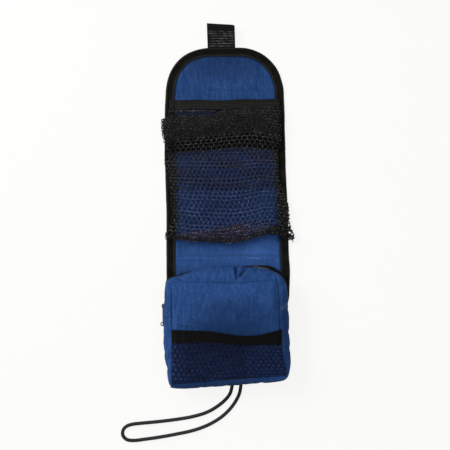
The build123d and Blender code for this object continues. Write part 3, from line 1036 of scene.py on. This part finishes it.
# Where the pouch's cloth is creased: the V over its top, the pinch at its right corner, and more
pouch_creases = [
    ((10.2, -60), (11.2, -78.6), 1.5, 3.4), ((22.8, -66.4), (11.2, -79), 1.7, 3.2),
    ((16.5, -64.5), (14, -70.5), 2, -1.2), ((25, -70.5), (15, -79.5), 2.2, -1.1),
    ((7, -66), (8, -76), 1.6, -0.8), ((12, -77), (12.6, -86), 1.6, -0.5),
    ((54, -78.2), (43, -73), 1.8, 1.1), ((53.6, -79.6), (55.6, -86), 1.3, 1.2),
    ((52, -76), (49.5, -79), 1.6, -0.7), ((51.4, -84), (51.6, -112), 1.5, 0.5),
    ((49, -82), (48.6, -108), 2, -0.4), ((-55.4, -84), (-54.6, -128), 1.8, -0.5),
    ((-46, -84.5), (-30, -92), 3.4, 0.5), ((-34, -70), (9, -67.5), 2, 0.5),
    ((38, -84), (30, -100), 4, 0.5), ((-52, -123), (-36, -126.5), 1.6, -0.5),
    ((-54, -126.5), (-38, -129.5), 1.4, 0.4), ((60.5, -112), (62, -140), 2.5, 0.6),
    ((-62.5, -120), (-61.5, -150), 2.5, 0.5), ((30, -118), (46, -108), 5, -0.6),
]


def front_point(u, v):
    """A point of the pouch's front between its four seams, softly full."""
    low, high = front_ring.at(lower, u)[0], front_ring.at(upper, 1 - u)[0]
    near, far = front_ring.at(left, 1 - v)[0], front_ring.at(right, v)[0]
    spot = low * (1 - v) + high * v + near * (1 - u) + far * u
    spot -= (low_corners[0] * (1 - u) + low_corners[1] * u) * (1 - v)
    spot -= (high_corners[0] * (1 - u) + high_corners[1] * u) * v
    a, b = abs(2 * u - 1), abs(2 * v - 1)
    full = (1 - a**3.4) * (1 - b**3.4)
    high_up = 5.2 * smooth(-165, -96, spot.y) - 3.0
    waves = ripple(spot.x, spot.y, 36, 1.4, 31) + ripple(spot.x + spot.y, spot.y, 15, 0.5, 32)
    return Vector((spot.x, spot.y, front_z + full * (4.0 + high_up + waves)))


low_corners = front_ring.at(lower, 0)[0], front_ring.at(lower, 1)[0]
high_corners = front_ring.at(upper, 1)[0], front_ring.at(upper, 0)[0]


def sewn_shell():
    """The pouch's front and wall in one mesh. The front's faces are marked 0, the wall's 1."""
    columns, rows, wall_rows = 56, 48, 16
    counts = (columns, rows, columns, rows)
    around = sum(counts)

    def wall_place(u, v):
        step = round(u * around)
        for side, count in enumerate(counts):
            if step <= count:
                break
            step -= count
        return wall_point(side, step / count, v)

    work = laid_grid(columns, rows, front_size, front_point)
    front_faces = set(work.faces)
    laid_grid(around, wall_rows, wall_size, wall_place, work)
    for face in work.faces:
        face.material_index = 0 if face in front_faces else 1
    bmesh.ops.remove_doubles(work, verts=work.verts, dist=2e-5)
    bmesh.ops.recalc_face_normals(work, faces=work.faces)
    return as_piece("pouch_shell", work, blue)


def settle(piece, pressure, cap, held):
    """Lets a piece fill a little under cloth simulation. It is simulated scale times larger,
    held(vert) says how firmly a point is held, and no point ends over cap millimetres away."""
    steps, scale = 20, 20
    mesh = piece.data
    start = [vert.co.copy() for vert in mesh.vertices]
    pins = piece.vertex_groups.new(name="held")
    for vert in mesh.vertices:
        pins.add([vert.index], held(vert), "REPLACE")
    mesh.transform(Matrix.Scale(scale, 4))
    cloth_modifier = piece.modifiers.new("settling", "CLOTH")
    settings = cloth_modifier.settings
    for name, value in {
        "quality": 6, "mass": 0.3, "tension_stiffness": 12, "compression_stiffness": 12,
        "shear_stiffness": 5, "bending_stiffness": 0.3, "vertex_group_mass": "held", "shrink_min": -0.03,
        "use_pressure": True, "uniform_pressure_force": pressure,
    }.items():
        setattr(settings, name, value)
    settings.effector_weights.gravity = 0
    cloth_modifier.collision_settings.use_collision = False
    scene = bpy.context.scene
    for step in range(1, steps + 1):
        scene.frame_set(step)
    settled = piece.evaluated_get(bpy.context.evaluated_depsgraph_get()).to_mesh()
    ends = [vert.co / scale for vert in settled.vertices]
    piece.modifiers.remove(cloth_modifier)
    piece.vertex_groups.remove(pins)
    for vert, before, after in zip(mesh.vertices, start, ends):
        move = after - before
        if move.length > cap * MM:
            move *= cap * MM / move.length
        vert.co = before + move
    scene.frame_set(1)


def points_of(piece, mark):
    """The points of the faces that carry a mark."""
    marked = [polygon.vertices for polygon in piece.data.polygons if polygon.material_index == mark]
    return {index for corners in marked for index in corners}


shell = sewn_shell()
wall_points = points_of(shell, 1)
seam_points = points_of(shell, 0) & wall_points


def shell_held(vert):
    """Held firmly at the seam round the front and fixed along the zip."""
    if vert.index in seam_points:
        return 0.92
    return 1.0 if vert.co.z < (zip_high + 0.2) * MM and vert.index in wall_points else 0.0


settle(shell, pressure=3.0, cap=2.2, held=shell_held)


def refined(piece):
    """Gives the settled shell finer faces and its small creases. Hands over a tree of its faces,
    on which heights are measured."""
    round_off(piece)
    fine = bpy.data.meshes.new_from_object(piece.evaluated_get(bpy.context.evaluated_depsgraph_get()))
    piece.modifiers.clear()
    work = bmesh.new()
    work.from_mesh(fine)
    bpy.data.meshes.remove(fine)
    work.normal_update()
    for vert in work.verts:
        x, y, z = vert.co / MM
        pressed = creased(x, y, pouch_creases) * smooth(zip_high + 1, zip_high + 6, z)
        vert.co -= vert.normal * pressed * MM
    work.to_mesh(piece.data)
    tree = BVHTree.FromBMesh(work)
    work.free()
    return tree


settled_shell = refined(shell)


def shell_height(x, y):
    """Top of the pouch at a place."""
    found = settled_shell.ray_cast(Vector((x * MM, y * MM, 0.1)), Vector((0, 0, -1)))[0]
    return found.z / MM if found else front_z


def on_shell(point, lift):
    """The nearest place on the pouch's cloth, lifted off it."""
    place, normal, _, _ = settled_shell.find_nearest(Vector(point) * MM)
    return place / MM + normal * lift


def shell_part(name, mark, thickness):
    """One cloth of the sewn shell, drawn in a little at its seam."""
    work = bmesh.new()
    work.from_mesh(shell.data)
    work.normal_update()
    for vert in work.verts:
        marks = {face.material_index for face in vert.link_faces}
        if len(marks) == 2:
            top_seam = smooth(-92, -84, vert.co.y / MM)
            vert.co -= vert.normal * mix(0.7, 0.1, top_seam) * MM
    others = [face for face in work.faces if face.material_index != mark]
    bmesh.ops.delete(work, geom=others, context="FACES")
    for face in work.faces:
        face.material_index = 0
    piece = as_piece(name, work, blue)
    thicken(piece, thickness)
    return piece


for name, mark, thickness, size, replaced in (
    ("pouch_front", 0, 0.7, front_size, ["lower_front_panel", "upper_front_panel"]),
    ("pouch_gusset", 1, 0.6, wall_size, ["lower_gusset", "upper_gusset"]),
):
    part = shell_part(name, mark, thickness)
    declare(part, replaced=replaced)
    across_crease(part, "pouch", "lid", lid_y, reach=6.0)
bpy.data.objects.remove(shell)


def cross_seam(name, side, share, finish):
    """The seam across the gusset where the lid's cloth is sewn to the lower one."""
    steps = 30
    points = [on_shell(wall_point(side, share, mix(0.97, 0.42, i / steps)), 0.15) for i in range(steps + 1)]
    spots = []
    for i in range(2, steps - 1, 3):
        away = Vector((0, 1.1 * (-1) ** i, 0))
        spots.append((on_shell(points[i] + away, 0.25), (points[i + 1] - points[i]).normalized()))
    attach(strand(name + "_ridge", points, 0.9, blue, 8), "pouch")
    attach(dots(name + "_stitches", spots, (2.2, 0.5, 0.4), finish), "pouch")


cross_seam("right_cross_seam", right, 0.7, frayed_thread)
cross_seam("left_cross_seam", left, 0.33, seam_thread)


# ---- zip round the top of the pouch

zip_sides = [foot_ring.sides[side].points for side in (right, upper, left)]
zip_points = [point for points in zip_sides for point in points if point.y > lid_y]
zip_line = Route([(wall_x - 0.6, lid_y)] + zip_points + [(0.4 - wall_x, lid_y)])


def zip_lean(share):
    """How far the lid's foot leans outwards of the zip at a share of the zip."""
    corner_y, top_y = -85, -66
    spot, _ = zip_line.at(share)
    if share < 0.25 and spot.y < corner_y:
        return through(lean[right], 0.55 + 0.45 * (spot.y - lid_y) / (top_y - lid_y))
    across = (wall_x - spot.x) / (2 * wall_x)
    return through(lean[upper], across) * smooth(lid_y, lid_y + 20, spot.y)


def zip_tape(name, low, high, leaning, body, replaced):
    """One tape of the zip. The lid's leans outwards with the lid's foot."""
    def place(u, v):
        spot, out = zip_line.at(u)
        z = mix(low, high, v)
        off = 0.25 * ripple(spot.x, spot.y, 9, 1.0, 81) + (leaning * zip_lean(u) * v * v)
        return spot.x + out.x * off, spot.y + out.y * off, z

    piece = cloth(name, 220, 5, (zip_line.length, high - low), place, zip_cloth, 0.6, 0)
    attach(piece, body)
    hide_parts(replaced)


def zip_teeth(name, z, shift, body, replaced):
    """A row of moulded teeth, set half a pitch from the other row."""
    pitch = 1.7
    tooth = (1.9, 0.75, 1.7, 1)
    count = int(zip_line.length / pitch)
    work = bmesh.new()
    for i in range(count):
        spot, out = zip_line.at((i + shift) / count)
        turn = Matrix.Rotation(math.atan2(out.y, out.x), 4, "Z")
        spot = Matrix.Translation(Vector((*spot, z)) * MM)
        bmesh.ops.create_cube(work, size=MM, matrix=spot @ turn @ Matrix.Diagonal(tooth))
    bmesh.ops.bevel(
        work, geom=work.edges, offset=0.16 * MM, segments=1, profile=0.5, affect="EDGES", material=-1,
    )
    piece = as_piece(name, work, teeth_nylon)
    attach(piece, body)
    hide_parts(replaced)


zip_tape("zip_tape_low", zip_low - 0.4, zip_z - 0.9, 0, "pouch", "zip_tape_lower")
zip_teeth("zip_teeth_low", zip_z - 0.55, 0.25, "pouch", "zip_teeth_lower")
zip_teeth("zip_teeth_high", zip_z + 0.55, 0.75, "lid", "zip_teeth_upper")
zip_tape("zip_tape_high", zip_z + 0.9, zip_high - 0.3, 1, "lid", "zip_tape_upper")


def zip_selvedge():
    """The edge of the zip's tape along the lid, coloured pale as a painted highlight; it shows where the lid
    is sewn to it.
    """
    points = []
    for i in range(181):
        share = mix(0.02, 0.365, i / 180)
        spot, out = zip_line.at(share)
        off = zip_lean(share) + 0.5
        points.append((spot.x + out.x * off, spot.y + out.y * off, zip_high))
    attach(strand("zip_selvedge", points, 0.6, selvedge, 5), "lid")


def pull_ring():
    """The small wire ring through the eye at the pull's end."""
    low, high = node_box("zip_pull")
    middle = Vector(((low.x + high.x) / 2 - 0.85, low.y + 1.2, (low.z + high.z) / 2))
    radius, steps = 1.8, 28
    turns = [2 * math.pi * i / steps for i in range(steps + 1)]
    points = [middle + Vector((radius * math.cos(turn), radius * math.sin(turn), 0)) for turn in turns]
    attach(strand("zip_pull_ring", points, 1.0, ring_wire, 8), "pull")


zip_selvedge()
pull_ring()


# ---- net pocket on the pouch

front_band_top = [
    (-58, -130.9), (-25, -131.7), (-13, -132.8), (10, -137), (19, -137.6), (33, -136.9), (58, -131.6),
]
front_band_low = [(-58, -144.9), (-10, -145.2), (24, -148.4), (56, -147.6)]
front_net_low = [(-59, -187.6), (-24, -185.3), (14, -182.9), (62, -179.5)]
seam_left = [(-189, -58.6), (-81, -57.7)]
seam_right = [(-180, 61.4), (-171, 59.4), (-161, 57.8), (-148, 56.9), (-81, 54.8)]


def front_band_place(u, v):
    """The band along the mouth of the pouch's net pocket, slack in its middle."""
    x = mix(-58.0, 57.2, u)
    y = mix(joined(front_band_low, x), joined(front_band_top, x), v)
    middle = belly(u, 0.6)
    slack = 0.8 + (1.2 + 1.6 * v) * middle + ripple(x, y, 18, 0.7, 41) * middle
    curl = 0.5 * smooth(0.75, 1.0, v)
    return x, y, shell_height(x, y) + max(slack, 0.6) + curl


front_band = cloth(
    "front_pocket_band", 90, 12, (118, 13), front_band_place, front_band_finish, 0.7,
)
declare(front_band, "pouch", replaced=["front_net_band"])


def front_net_place(slack_share, first, last):
    """The net from its band to the pouch's lower seam, over a stretch of its width."""
    def place(u, v):
        u = mix(first, last, u)
        y_guess = mix(-184, -146, v)
        x = mix(joined(seam_left, y_guess), joined(seam_right, y_guess), u)
        y = mix(joined(front_net_low, x), joined(front_band_low, x) + 1.5, v)
        middle = belly(u, 0.5)
        slack = 0.5 + slack_share * 2.4 * middle * belly(min(v * 0.5 + 0.05, 0.5), 0.7)
        slack += ripple(x, y, 14, 0.4, 43) * middle
        return x, y, shell_height(x, y) + max(slack, 0.4)

    return place


# The third layer is no lining of the bag: it is a fine dark net laid under the front net as painted shade,
# darkening the cloth seen through the holes.
for name, first, last, cell, thread, turn, slack_share, finish, cover in (
    ("", 0.0, 1.0, (5.4, 4.3), 1.5, -5, 1.0, shaded_front_yarn, 0.55),
    ("_inner", 0.13, 0.66, (5.2, 2.1), 0.7, 4, 0.4, shaded_front_yarn, 0.48),
    ("_lining", 0.0, 1.0, (2.7, 2.2), 0.4, 2, 0.15, shade_net_yarn, 0.6),
):
    outer = name == ""
    size = (119 * (last - first), 39)
    place = front_net_place(slack_share, first, last)
    layer = net("front_pocket_net" + name, size, place, finish, cell, thread, turn, outer)
    declare(layer, "pouch", ["front_net"] if outer else [])


# ---- net pocket on the panel

def panel_height(x, y):
    """What the slack net lies on: the lining, and the binding at the sides."""
    low, high = panel_edge(y, -1), panel_edge(y, 1)
    middle, half = (low + high) / 2, (high - low) / 2
    away = min(abs(x - middle), half)
    over = smooth(half - binding_width - 2, half - binding_width, away)
    return mix(lining_height(math.copysign(away, x - middle) * 0.985, y), binding_top + 0.7, over)


pocket_left = [
    (-40, -65.4), (-31, -64.7), (-18, -58.1), (-5, -56.9), (11, -58.9), (27, -61.4), (44, -64.5),
    (104, -64.9),
]
pocket_right = [
    (-44, 71.6), (-38, 73.4), (-33, 74), (-26, 70.4), (-18, 68.8), (-1, 68.2), (26, 59), (32, 57),
    (104, 57.8),
]
pocket_low = [
    (-66, -33.6), (-50, -35.6), (-37, -37.6), (4, -40), (20, -38), (31, -35.1), (40, -31.5), (52, -31),
    (64, -35), (73, -38),
]
inner_low = [(-66, 15.3), (-9, 15.1), (19, 17.7), (57, 18.2)]
open_low = [(-66, 55.6), (-27, 56.8), (16, 60), (57, 57)]
facing_low = [(-60, 57.5), (-27, 60), (16, 62.5), (56, 59)]
fold_low = [
    (-67, 66.9), (-58, 68), (-42, 69.7), (-18, 71.3), (1, 74.1), (17, 75.5), (32, 76.3), (46, 74.3),
    (56, 68.2),
]
hem_top = [(-50, -31.5), (-44, -28.9), (-25, -26), (-3, -22.6), (26, -19.4), (39, -18.2), (56, -17.2)]
open_top = 70.0


def pocket_x(y, u, drawn_in=0.0):
    """A place across the pocket, from its left edge to its right edge."""
    return mix(joined(pocket_left, y) + drawn_in, joined(pocket_right, y) - drawn_in, u)


def pocket_net(name, size, place, finish, cell, thread, turn=0, soft=False,
               pressed=False, replaced=()):
    """A net of the pocket on the panel, which moves with the middle body."""
    piece = net(name, size, place, finish, cell, thread, turn, soft)
    if pressed:
        ride_pressed(piece)
    declare(piece, None if pressed else "middle", replaced)


def pocket_place(u, v):
    """The net sheet below its opened rows, slack towards its lower edge."""
    y = mix(through(pocket_low, mix(-64, 70, u)), open_top - 2, v)
    x = pocket_x(y, u)
    middle = belly(u, 0.6)
    bulge = 4.5 * hump(v, 0.09, 0.13) * middle + 2.0 * middle * (1 - v)
    z = panel_height(x, y) + 1.0 + bulge
    z += (ripple(x, y, 17, 1.0, 51) * middle + ripple(x, y, 8, 0.4, 52)) * smooth(1.0, 0.8, v)
    return x, y, max(z, binding_top + 0.6)


def inner_net_place(u, v):
    """The second thickness of the slack, which ends half way down."""
    y = mix(through(inner_low, mix(-64, 57, u)), 62, v)
    x = pocket_x(y, u, 0.4)
    return x, y, panel_height(x, y) + 0.9 + ripple(x, y, 12, 0.25, 53)


def open_net_place(u, v):
    """The rows that the fold draws open, over the black facing."""
    x_guess = mix(-64, 57, u)
    y = mix(through(open_low, x_guess), through(fold_low, x_guess) + 5, v)
    x = pocket_x(y, u)
    return x, y, panel_height(x, y) + 3.2 + 0.8 * v + ripple(x, y, 12, 0.3, 54)


def fold_place(layer, drawn_in=0.0):
    """The net's doubled top, folded over below the band in several thicknesses."""
    def place(u, v):
        left_end = -66.2 - 2.5 * smooth(0.0, 0.55, v) + 0.6 * layer + drawn_in
        x = mix(left_end, 61.0 - 1.5 * layer - drawn_in, u)
        low_edge = through(fold_low, x) + 1.3 * layer + drawn_in
        top_edge = mix(96.8, 105.6, smooth(-24, 12, x)) - 1.2 * layer - drawn_in * 0.5
        y = mix(low_edge, top_edge, v) - 3.0 * smooth(-60, -67, x) * v
        lift = 2.2 + 0.8 * layer + 2.4 * belly(v, 0.7)
        return x, y, panel_height(x, y) + lift + ripple(x, y, 11, 0.9, 61)

    return place


def band_net_place(u, v):
    """The stretch of net that shows blue between the band and the fold."""
    x, y = mix(-61, 4, u), mix(94, 105, v)
    return x, y, panel_height(x, y) + 1.2


def facing_place(u, v):
    """The black facing turned in behind the band, seen through the net."""
    y = mix(through(facing_low, mix(-60, 56, u)), 103, v)
    x = mix(-half_width(y) + 5, half_width(y) - 4, u)
    cover = -10 * smooth(0.45, 0.3, u) * smooth(0.7, 1, v)
    return x, y + cover, panel_height(x, y) + 2.0 + ripple(x, y, 15, 0.2, 55)


def band_place(u, v):
    """The band along the pocket's mouth, slack in its middle."""
    x = mix(-60.0, 60.0, u)
    low_edge = mix(103.9, 105.0, smooth(0.4, 0.8, u))
    y = mix(low_edge, 113.6, v) + 0.5 * math.sin(u * 8.0 + 1.0) - 0.3 * math.sin(u * 17)
    slack = 0.8 + 2.4 * belly(u, 0.7) + ripple(x, y, 20, 0.8, 57)
    return x, y, panel_height(x, y) + max(slack, 0.5) + 0.4 * smooth(0.8, 1, v)


def hem_fold_place(layer):
    """The slack that is folded up along the lower edge, in two thicknesses."""
    def place(u, v):
        x = mix(-52 + 3 * layer, 52 - 4 * layer, u)
        y = mix(through(pocket_low, x) + 0.6, through(hem_top, x) - 1.2 * layer, v)
        middle = belly(u, 0.5)
        swell_up = 3.6 * middle * belly(0.15 + 0.8 * v, 0.7)
        lift = 2.2 + 2.2 * middle + swell_up + 0.7 * layer
        return x, y, panel_height(x, y) + lift + ripple(x, y, 8, 0.9, 73)

    return place


def hem_place(u, v):
    """The rolled lower hem: a soft gathered tube of net, thick at its right end."""
    x = mix(-65.4, 72.0, u)
    low_edge = through(pocket_low, x)
    middle = belly(u, 0.5)
    turn = 2 * math.pi * v
    clump = hump(x, 53, 12)
    thick = 1.0 + 0.9 * middle + 3.2 * clump + ripple(x, 0, 6, 0.7, 71)
    rise = panel_height(x, low_edge) + thick + 0.8 + 1.6 * middle
    return x, low_edge + 0.6 + 2.4 * clump + thick * math.cos(turn), rise + 0.7 * thick * math.sin(turn)


def corner_place(u, v):
    """The net gathered at its lower right corner, under the sheet."""
    y = mix(-39, 10, v)
    x = mix(57.5, joined(pocket_right, y) - 0.5, u)
    return x, y, panel_height(x, y) + 1.3 + ripple(x, y, 6, 0.9, 77)


pocket_net(
    "net_pocket_sheet", (136, 108), pocket_place, yarn, (5.7, 4.6), 1.9,
    soft=True, pressed=True, replaced=["net_pocket"],
)
pocket_net(
    "net_pocket_inner", (122, 46), inner_net_place, double_yarn, (5.2, 4.0), 2.5, turn=-4,
)
pocket_net(
    "net_pocket_open_rows", (122, 22), open_net_place, open_yarn, (5.6, 4.3), 0.42, soft=True,
)
fold_inside = cloth("net_fold_inside", 80, 20, (124, 30), fold_place(-1, 2.5), fold_yarn, 0.4)
declare(fold_inside, "middle")
for layer, cell, thread, turn in ((0, (3.9, 3.0), 1.3, 9), (1, (4.1, 3.2), 1.2, -6), (2, (3.7, 2.9), 1.1, 2)):
    pocket_net(
        f"net_fold_{layer}", (128, 33), fold_place(layer), fold_yarn, cell, thread, turn=turn,
        replaced=[] if layer else ["net_fold"],
    )
pocket_net("net_below_band", (65, 11), band_net_place, double_yarn, (3.8, 4.4), 2.3)
facing = cloth("net_band_facing", 60, 20, (124, 42), facing_place, front_band_finish, 0.3)
declare(facing, "middle")
band = cloth("net_pocket_band", 100, 12, (120, 10.5), band_place, band_finish, 0.7)
declare(band, "middle", replaced=["net_band"])


rows = [stitch_row(lambda along: band_place(along, height), 40, 0.2) for height in (0.12, 0.44)]
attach(dots("band_stitches", rows[0] + rows[1], (1.9, 0.5, 0.45), stitch_yarn), "middle")
for layer, turn in enumerate((5, -8)):
    pocket_net(
        f"net_hem_fold_{layer}", (114, 14), hem_fold_place(layer), lit_hem_yarn, (3.6, 2.9), 1.3,
        turn=turn, pressed=True,
    )
pocket_net(
    "net_pocket_hem", (140, 14), hem_place, fold_yarn, (4.4, 3.6), 1.7,
    pressed=True, replaced=["net_hem"],
)
pocket_net(
    "net_corner_gather", (16, 49), corner_place, fold_yarn, (3.2, 2.6), 1.2, turn=14, pressed=True,
)


def hem_loops(name, shift, height, finish):
    """The looped edge thread of the net, lying over the hem."""
    points = []
    count, loops = 520, 25
    for i in range(count + 1):
        share = i / count
        x = mix(-65.0, 72.5, share)
        wave = 2 * math.pi * (share * loops + shift) + ripple(x, 0, 5, 2.5, 92)
        clump = hump(x, 53, 12)
        loose = 1.7 + 1.6 * clump + 0.8 * smooth(-38, -50, x) + ripple(x, 0, 9, 1.6, 93)
        y = through(pocket_low, x) + 0.9 + 2.6 * clump + loose * math.sin(wave) + ripple(x, 0, 7, 1.4, 91)
        z = panel_height(x, y) + 5.0 + 4.6 * belly(share, 0.5) + 2.2 * clump + height * math.cos(wave)
        points.append((x + 1.4 * math.cos(wave), y, z))
    ride_pressed(strand(name, points, 0.65, finish, 5))


def net_edge(name, line, low_y):
    """The looped edge of the net down one side of the pocket."""
    points = []
    count, pitch = 260, 4.2
    for i in range(count + 1):
        y = mix(low_y, 62, i / count)
        wave = 2 * math.pi * y / pitch
        x = joined(line, y) + 0.7 * math.sin(wave) + ripple(0, y, 6, 0.8, 95)
        points.append((x, y + 0.8 * math.cos(wave), panel_height(x, y) + 1.6 + 0.5 * math.cos(wave)))
    ride_pressed(strand(name, points, 0.7, open_yarn, 5))


hem_loops("net_hem_loops_a", 0.0, 0.5, loop_yarn)
hem_loops("net_hem_loops_b", 0.5, -0.5, fold_yarn)
net_edge("net_edge_left", pocket_left, -38)
net_edge("net_edge_right", pocket_right, -42)


# ---- webbing loop

loop_low, loop_high = node_box("hanging_loop")
webbing_half = 0.7  # half of the webbing's thickness


def loop_section():
    """The middle line of the webbing round its eye, from the root below to the root above."""
    top = loop_high.z - webbing_half
    root, bend = loop_low.y, loop_high.y - loop_high.z / 2
    middle = (top + webbing_half) / 2
    return Route(
        [(root - 1.0, webbing_half + 0.4), (root + 8, webbing_half), (bend, webbing_half)]
        + arc(bend, middle, (top - webbing_half) / 2, -90, 90)
        + [(bend, top), (root + 10, top), (root + 1, 3.1), (root - 1.0, 2.6)]
    )


section = loop_section()


def loop_place(u, v):
    """The webbing round its eye, ribbed, a little askew and drawn in at one corner."""
    point, _ = section.at(v)
    x = mix(loop_low.x, loop_high.x, 1 - u)
    reach = (point.x - loop_low.y) / (loop_high.y - loop_low.y)
    rib = 0.18 * math.sin(2 * math.pi * v * section.length / rib_pitch)
    over = 1 if v > 0.5 else -0.3
    flat_ends = smooth(0.02, 0.1, u) * smooth(0.98, 0.9, u)
    shear = (-0.6 - 0.07 * (x - loop_low.x)) * smooth(loop_low.y + 4, loop_high.y, point.x)
    narrow = 2.2 * smooth(0.9, 1.0, reach) * smooth(0.12, 0.0, u)
    return x - 0.5 * reach - narrow, point.x + shear, point.y + over * rib * flat_ends


loop_size = (30, section.length)
loop = cloth("webbing_loop", 30, 170, loop_size, loop_place, webbing, 1.3, 0)
declare(loop, "loop", replaced=["hanging_loop"])
